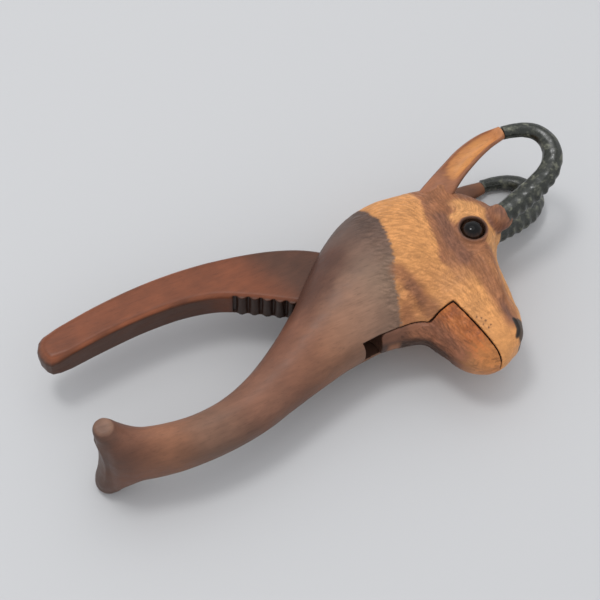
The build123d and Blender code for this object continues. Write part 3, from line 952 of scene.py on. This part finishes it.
def wood_material(name, roughness, pore_depth, specular):
    """Stained wood: painted stains with some painted shade, sheen and highlight, grain and pores along X,
    darker gouges, satin oil finish.
    """
    wood = Finish(name)
    groove = wood.painted("groove")
    grain = wood.noise((60, 700, 700), 5.0)
    pores = wood.noise((260, 2400, 2400), 2.0)
    mottle = wood.noise((150, 260, 260), 3.0)
    shade = wood.ramp(grain, 0.3, 0.7, 0.93, 1.06)
    pore_tone = wood.ramp(pores, 0.28, 0.44, 0.80, 1.0)
    mottle_tone = wood.ramp(mottle, 0.3, 0.7, 0.92, 1.07)
    gouge_tone = wood.ramp(groove, 0.0, 1.0, 1.0, 0.76)
    for tone in (pore_tone, mottle_tone, gouge_tone):
        shade = wood.sum_or_product("MULTIPLY", shade, tone)
    wood.feed("Base Color", wood.shaded(wood.painted("stain", "Color"), shade))
    rough = wood.ramp(mottle, 0.3, 0.7, roughness - 0.06, roughness + 0.08)
    wood.feed("Roughness", wood.sum_or_product("ADD", rough, wood.ramp(groove, 0, 1, 0.0, 0.18)))
    wood.feed("Specular IOR Level", specular)
    height = wood.sum_or_product("ADD", pores, wood.sum_or_product("MULTIPLY", grain, 0.6))
    wood.bump(height, 0.5, pore_depth)
    return wood.material


def horn_material():
    """Black-green stained horn, worn to grey-green on its high spots."""
    horn = Finish("horn_black_green")
    clouds = horn.noise((230, 230, 230), 6.0, 0.68)
    specks = horn.noise((900, 900, 900), 3.0)
    worn = horn.ramp(horn.painted("worn"), 0, 1, 0.35, 1.3)
    share = horn.sum_or_product("MULTIPLY", horn.ramp(clouds, 0.48, 0.70, 0.0, 0.85), worn)
    colour = horn.nodes.new("ShaderNodeMix")
    colour.data_type = "RGBA"
    colour.inputs["A"].default_value = (0.014, 0.016, 0.011, 1)
    colour.inputs["B"].default_value = (0.235, 0.235, 0.170, 1)
    horn.links.new(share, colour.inputs["Factor"])
    horn.feed("Base Color", horn.shaded(colour.outputs["Result"], horn.ramp(specks, 0.3, 0.7, 0.75, 1.2)))
    horn.feed("Roughness", horn.ramp(clouds, 0.3, 0.7, 0.22, 0.42))
    horn.feed("Specular IOR Level", 0.50)
    horn.bump(horn.sum_or_product("ADD", clouds, horn.sum_or_product("MULTIPLY", specks, 0.3)), 0.45, 0.25)
    return horn.material


# Colours across the eye, from its middle to its edge: black pupil, brown ring, dark edge
EYE_COLOURS = [
    (0.0, (0.001, 0.001, 0.001)),
    (0.56, (0.002, 0.001, 0.001)),
    (0.66, (0.009, 0.004, 0.003)),
    (0.80, (0.026, 0.012, 0.007)),
    (0.93, (0.020, 0.010, 0.006)),
    (1.0, (0.008, 0.004, 0.003)),
]


def eye_material(name, roughness, specular):
    """The eye's painted colours with fine rays, under the gloss of glass or of paint."""
    eye = Finish(name)
    bands = eye.nodes.new("ShaderNodeValToRGB")
    elements = bands.color_ramp.elements
    elements.remove(elements[1])
    for number, (place, colour) in enumerate(EYE_COLOURS):
        element = elements.new(place) if number else elements[0]
        element.position = place
        element.color = colour + (1,)
    eye.links.new(eye.painted("zone"), bands.inputs["Fac"])
    tone = eye.ramp(eye.painted("rays"), -1, 1, 0.6, 1.5)
    eye.feed("Base Color", eye.shaded(bands.outputs["Color"], tone))
    eye.feed("Roughness", roughness)
    eye.feed("Specular IOR Level", specular)
    return eye.material


def steel_material():
    """Drawn steel, with fine lines along the pin."""
    steel = Finish("drawn_steel")
    lines = steel.noise((3000, 3000, 120), 3.0)
    tone = steel.ramp(lines, 0.3, 0.7, 0.8, 1.1)
    steel.feed("Base Color", steel.shaded(steel.plain((0.56, 0.57, 0.58, 1)), tone))
    steel.feed("Roughness", steel.ramp(lines, 0.3, 0.7, 0.25, 0.4))
    steel.feed("Metallic", 1.0)
    return steel.material


def dowel_material():
    """Bare birch, with fine grain."""
    birch = Finish("birch_dowel")
    tone = birch.ramp(birch.noise((200, 1500, 1500), 4.0), 0.3, 0.7, 0.8, 1.1)
    birch.feed("Base Color", birch.shaded(birch.plain((0.60, 0.42, 0.24, 1)), tone))
    birch.feed("Roughness", 0.7)
    return birch.material


# ---------------------------------------------------------------- pieces

carved_wood = wood_material("carved_wood", 0.47, 0.10, 0.30)
polished_wood = wood_material("polished_wood", 0.40, 0.09, 0.28)


def add_fur(points, normals, count, seed):
    """Gouged points, the groove depth from 0 to 1, and each stroke's random lean."""
    groove, lean = gouge_fur(points, normals, count, seed)
    return points - normals * groove[:, None], groove / FUR_DEPTH, lean


def make_body():
    points, quads, normals = surface_of(body_distance, (-149, -46, -27.5), (68, 58, 27.5), CARVING_STEP)
    moved, groove, lean = add_fur(points, normals, STROKES, SEED)
    open_air = blank_distance(*points.T) > -SKIN
    moved = np.where(open_air[:, None], moved, points)
    stain = head_stain(points, normals, lean)
    new_piece("carved_head_neck_handle", moved, quads, "neck", "walnut", carved_wood,
              "head_neck_and_handle", stain=stain, groove=groove * open_air)


def make_lever():
    points, quads, normals = surface_of(lever_distance, (-149, -46, -20), (28, 62, 20), CARVING_STEP)
    moved, groove, lean = add_fur(points, normals, STROKES // 5, SEED + 1)
    in_jaw = (blank_distance(*points.T) > -SKIN) & (jaw_shape(points[:, 0], points[:, 1]) < -0.3)
    moved = np.where(in_jaw[:, None], moved, points)
    stain = jaw_stain(points, normals, lean * in_jaw)
    new_piece("carved_lever_and_jaw", moved, quads, "lever", "lever_wood", polished_wood,
              "lever_with_lower_jaw", stain=stain, groove=groove * in_jaw)


def make_plugs():
    points, quads, normals = surface_of(plug_distance, (-5, -5, 14), (5, 5, 24), min(CARVING_STEP, 0.45))
    moved, groove, lean = add_fur(points, normals, 60, SEED + 2)
    looks = {"stain": head_stain(points, normals, lean), "groove": groove}
    new_piece("carved_plug_right", moved, quads, "neck", "walnut", carved_wood, "pin_plug_right", **looks)
    new_piece("carved_plug_left", moved * MIRROR, quads[:, ::-1], "neck", "walnut", carved_wood,
              "pin_plug_left", **looks)


def tube_faces(rings, around):
    """Quads between rings of points, one after another."""
    faces = []
    for i in range(rings - 1):
        for j in range(around):
            k = (j + 1) % around
            faces.append((i * around + j, i * around + k, (i + 1) * around + k, (i + 1) * around + j))
    return faces


CAP_SCALES = (0.94, 0.6, 0.2, 0.02)  # how the rings shrink over a tube's closed end


def closed_tube(rings):
    """Points and quads of a tube whose rings shrink to a small closed cap at both ends."""
    around = rings.shape[1]
    caps = []
    for ring in (rings[0], rings[-1]):
        middle = ring.mean(0)
        caps.append(np.array([middle + (ring - middle) * scale for scale in CAP_SCALES]))
    stacked = np.concatenate([caps[0][::-1], rings, caps[1]])
    faces = tube_faces(len(stacked), around)
    last = (len(stacked) - 1) * around
    for first, turn in ((0, -1), (last, 1)):
        for j in range(1, around // 2):
            quad = (first + j - 1, first + j, first + around - 1 - j, first + around - j)
            faces.append(quad[::turn])
    return stacked.reshape(-1, 3), np.array(faces)


def tube_grid(rows, lengthwise, around):
    """A smooth path through the rows, two ways square to it, and the grid's shares and angles."""
    path = smooth_path(rows, lengthwise)
    way = np.gradient(path[:, :3], axis=0)
    way /= np.linalg.norm(way, axis=1, keepdims=True)
    level = np.cross(np.array((0.0, 0.0, 1.0)), way)
    level /= np.linalg.norm(level, axis=1, keepdims=True)
    s = np.linspace(0, 1, lengthwise)[:, None]
    angle = np.linspace(0, 2 * math.pi, around, endpoint=False)[None, :]
    return path[:, None, :], level[:, None, :], np.cross(way, level)[:, None, :], s, angle


def on_tube(values, s, angle):
    """A value at each point of a closed tube, from values on its grid."""
    caps = len(CAP_SCALES)
    return np.pad(values + 0 * s * angle, ((caps, caps), (0, 0)), mode="edge").ravel()


def make_horns(material):
    """Hooked horns with knobs on the outer edge, two long ridges and a rough skin."""
    path, level, up, s, angle = tube_grid(HORN, 190, 56)
    outward = np.cos(angle)[..., None] * level + np.sin(angle)[..., None] * up
    base = path[..., :3] + outward * path[..., 3:4]
    flat = base.reshape(-1, 3)
    rough = (0.5 * lumps(flat, 3.2, 31) + 0.22 * lumps(flat, 1.4, 32)).reshape(base.shape[:2])
    knob = np.sin(s * 2 * math.pi * KNOBS + 0.9 * np.sin(angle * 2 + 1.0) + 2.0 * s)
    knob = knob * smooth_step(0.62, 0.30, s) * (0.5 + 0.5 * np.cos(angle - math.pi)) ** 3.5
    ridge = np.exp(-(((angle - 2.3 + 0.9 * s) / 0.26) ** 2)) * smooth_step(0.95, 0.6, s)
    ridge = ridge + 0.7 * np.exp(-(((angle - 0.9 + 0.5 * s) / 0.22) ** 2)) * smooth_step(0.8, 0.5, s)
    lift = 0.36 * knob + rough * (0.24 + 0.16 * smooth_step(0.75, 0.2, s)) + 0.34 * ridge
    points, faces = closed_tube(base + outward * lift[..., None])
    worn = on_tube(np.clip(0.35 + 1.1 * lift + 0.25 * rough, 0, 1), s, angle)
    new_piece("carved_horn_right", points, faces, "neck", "horn_black", material, "horn_right", worn=worn)
    root = np.array((HORN[0][0], 0, 0))
    left = root + (points - root) * (LEFT_HORN_SPREAD, 1, -1) + LEFT_HORN_SHIFT
    new_piece("carved_horn_left", left, faces[:, ::-1], "neck", "horn_black", material, "horn_left",
              worn=worn)


def make_ears():
    """Leaf-shaped ears with a hollow along their upper side, orange inside and brown outside."""
    path, level, up, s, angle = tube_grid(EAR, 150, 96)
    wide, thick = path[..., 3], path[..., 4]
    c, h = np.cos(angle), np.sin(angle)
    bowl = np.clip(1 - (c / 0.80) ** 2, 0, 1) ** 0.8 * (h > 0)
    depth = smooth_step(0.20, 0.42, s) * smooth_step(1.0, 0.88, s) * 1.55
    height = thick * h - depth * bowl * thick
    points, faces = closed_tube(path[..., :3] + (wide * c)[..., None] * level + height[..., None] * up)
    inner = on_tube(bowl * smooth_step(0.20, 0.52, s), s, angle)
    along, side = on_tube(s, s, angle), np.abs(on_tube(c, s, angle))
    fine, cloud = lumps(points, (5.0, 1.2, 1.2), 41), lumps(points, 6.0, 42)
    colour = mix(RUSSET, UMBER, 0.5 + 0.3 * cloud)
    colour = mix(colour, UMBER, smooth_step(0.40, 0.15, along) * 0.25)
    orange = mix(PALE * 0.84, CHEEK, 0.25 + 0.35 * fine)
    colour = mix(colour, orange, smooth_step(0.04, 0.62, inner + 0.16 * fine))
    colour = mix(colour, RUSSET * 1.2, smooth_step(0.82, 1.0, along) * 0.7)
    colour = mix(colour, LEVER_DARK, smooth_step(0.86, 1.0, side) * smooth_step(0.75, 0.4, along) * 0.6)
    streaks = np.clip(lumps(points, (7.0, 0.8, 0.8), 43), 0, 1) * 0.5
    new_piece("carved_ear_right", points, faces, "neck", "ear_wood", carved_wood, "ear_right",
              stain=colour, groove=streaks)
    # Painted shade: the left ear, on the side towards the table, gets the right ear's colour at 0.45 times
    # the brightness
    new_piece("carved_ear_left", points * MIRROR + LEFT_SHIFT, faces[:, ::-1], "neck", "ear_wood",
              carved_wood, "ear_left", stain=colour * 0.45, groove=streaks)


def turned(profile):
    """Rings about the eye's upright axis from a profile of radius and height."""
    angle = np.linspace(0, 2 * math.pi, EYE_SIDES, endpoint=False)
    points = []
    for r, z in profile:
        points += [(EYE_AT[0] + r * math.cos(a), EYE_AT[1] + r * math.sin(a), z) for a in angle]
    return np.array(points), np.array(tube_faces(len(profile), EYE_SIDES))


def eye_paint(points):
    """Where each point lies from the eye's middle to its edge, and the fine rays around it."""
    ex, ey = points[:, 0] - EYE_AT[0], points[:, 1] - EYE_AT[1]
    turn = np.arctan2(ey, ex)
    rays = lumps(np.column_stack([np.cos(turn), np.sin(turn), 0 * turn]), 0.11, 51)
    return {"zone": np.hypot(ex, ey) / EYE_RADIUS, "rays": rays}


def make_eyes(glass, paint):
    """Domed glass eyes, each over a painted disc."""
    floor = EYE_SEAT_Z + IRIS_THICKNESS
    dome_radius = (EYE_RADIUS**2 + EYE_DOME**2) / (2 * EYE_DOME)
    back = floor + 0.02
    profile = [(0.02, back), (2.5, back), (EYE_RADIUS - 0.15, back), (EYE_RADIUS, back + 0.15)]
    profile.append((EYE_RADIUS, floor + EYE_RIM - 0.1))
    for i in range(18):
        r = EYE_RADIUS * math.cos(math.pi / 2 * (i + 0.5) / 18.5)
        profile.append((r, EYE_TOP - dome_radius + math.sqrt(dome_radius**2 - r**2)))
    profile.append((0.02, EYE_TOP))
    seat = EYE_SEAT_Z + 0.02
    disc = [(0.02, seat), (EYE_RADIUS - 0.1, seat), (EYE_RADIUS - 0.05, floor - 0.2)]
    for i in range(1, 24):
        disc.append((EYE_RADIUS * (1 - i / 24), floor - 0.05 - 0.12 * math.sin(math.pi * i / 24)))
    disc.append((0.02, floor - 0.05))
    for side, sign in (("right", 1), ("left", -1)):
        for kind, shape, slot, material, node in (
            ("glass_eye_", profile, "eye_glass", glass, "eye_glass_"),
            ("painted_iris_", disc, "eye_paint", paint, "eye_iris_"),
        ):
            points, faces = turned(shape)
            new_piece(kind + side, points * (1, 1, sign), faces[:, ::sign], "neck", slot, material,
                      node + side, **eye_paint(points))


def finish_pin_and_dowels():
    """The pin and the dowels keep their CAD shapes and get better materials."""
    steel, birch = steel_material(), dowel_material()
    for name, node in frame["nodes"].items():
        if name == "pivot_pin" or "dowel" in name:
            node.data.materials.clear()
            node.data.materials.append(steel if name == "pivot_pin" else birch)


make_body()
make_lever()
make_plugs()
make_horns(horn_material())
make_ears()
make_eyes(eye_material("eye_glass", 0.03, 0.22), eye_material("eye_paint", 0.3, 0.5))
finish_pin_and_dowels()


# ---------------------------------------------------------------- floor, light and camera

CAMERA_AZIMUTH = math.radians(-29)
CAMERA_ELEVATION = math.radians(58)
CAMERA_ROLL = math.radians(3)
CAMERA_DISTANCE = 0.6867
CAMERA_LENS = 96.0
LOOK_AT = Vector((-0.0360, 0.0238, 0.0)) + Vector(PIVOT)
FLOOR_HALF_SIZE = 3.0

# Soft lights: width in metres, power in watts, and how far beyond, to the left of and above the object
LIGHTS = {"window": (1.2, 2.4, 0.30, 0.10, 1.3), "lamp": (0.34, 4.6, 0.10, 0.35, 1.4)}
LIT_AT = Vector((-0.03, 0.02, 0.0)) + Vector(PIVOT)
BEYOND = Vector((0.485, 0.875, 0.0))
LEFTWARD = Vector((-0.875, 0.485, 0.0))


def make_floor():
    mesh = bpy.data.meshes.new("floor")
    size = FLOOR_HALF_SIZE
    corners = [(-size, -size, 0), (size, -size, 0), (size, size, 0), (-size, size, 0)]
    mesh.from_pydata(corners, [], [(0, 1, 2, 3)])
    floor = bpy.data.objects.new("floor", mesh)
    bpy.context.scene.collection.objects.link(floor)
    table = Finish("pale_table")
    table.feed("Base Color", (0.545, 0.545, 0.55, 1))
    table.feed("Roughness", 0.65)
    mesh.materials.append(table.material)


def make_light():
    world = bpy.data.worlds.new("studio")
    world.use_nodes = True
    background = world.node_tree.nodes["Background"]
    background.inputs["Color"].default_value = (0.95, 0.97, 1.0, 1)
    background.inputs["Strength"].default_value = 0.89
    bpy.context.scene.world = world
    for name, (width, power, beyond, leftward, above) in LIGHTS.items():
        data = bpy.data.lights.new(name, "AREA")
        data.shape = "DISK"
        data.size = width
        data.energy = power
        light = bpy.data.objects.new(name, data)
        light.location = LIT_AT + BEYOND * beyond + LEFTWARD * leftward + Vector((0, 0, above))
        light.rotation_mode = "QUATERNION"
        light.rotation_quaternion = (LIT_AT - light.location).to_track_quat("-Z", "Y")
        bpy.context.scene.collection.objects.link(light)


def make_camera():
    data = bpy.data.cameras.new("camera")
    data.lens = CAMERA_LENS
    data.sensor_width = 36.0
    data.clip_start, data.clip_end = 0.01, 20
    camera = bpy.data.objects.new("camera", data)
    bpy.context.scene.collection.objects.link(camera)
    a, e = CAMERA_AZIMUTH, CAMERA_ELEVATION
    back = Vector((math.sin(a) * math.cos(e), -math.cos(a) * math.cos(e), math.sin(e)))
    camera.location = LOOK_AT + back * CAMERA_DISTANCE
    turn = (-back).to_track_quat("-Z", "Y").to_matrix().to_4x4() @ Matrix.Rotation(CAMERA_ROLL, 4, "Z")
    camera.rotation_mode = "QUATERNION"
    camera.rotation_quaternion = turn.to_quaternion()
    bpy.context.scene.camera = camera


make_floor()
make_light()
make_camera()
bpy.context.scene.view_settings.view_transform = "Standard"
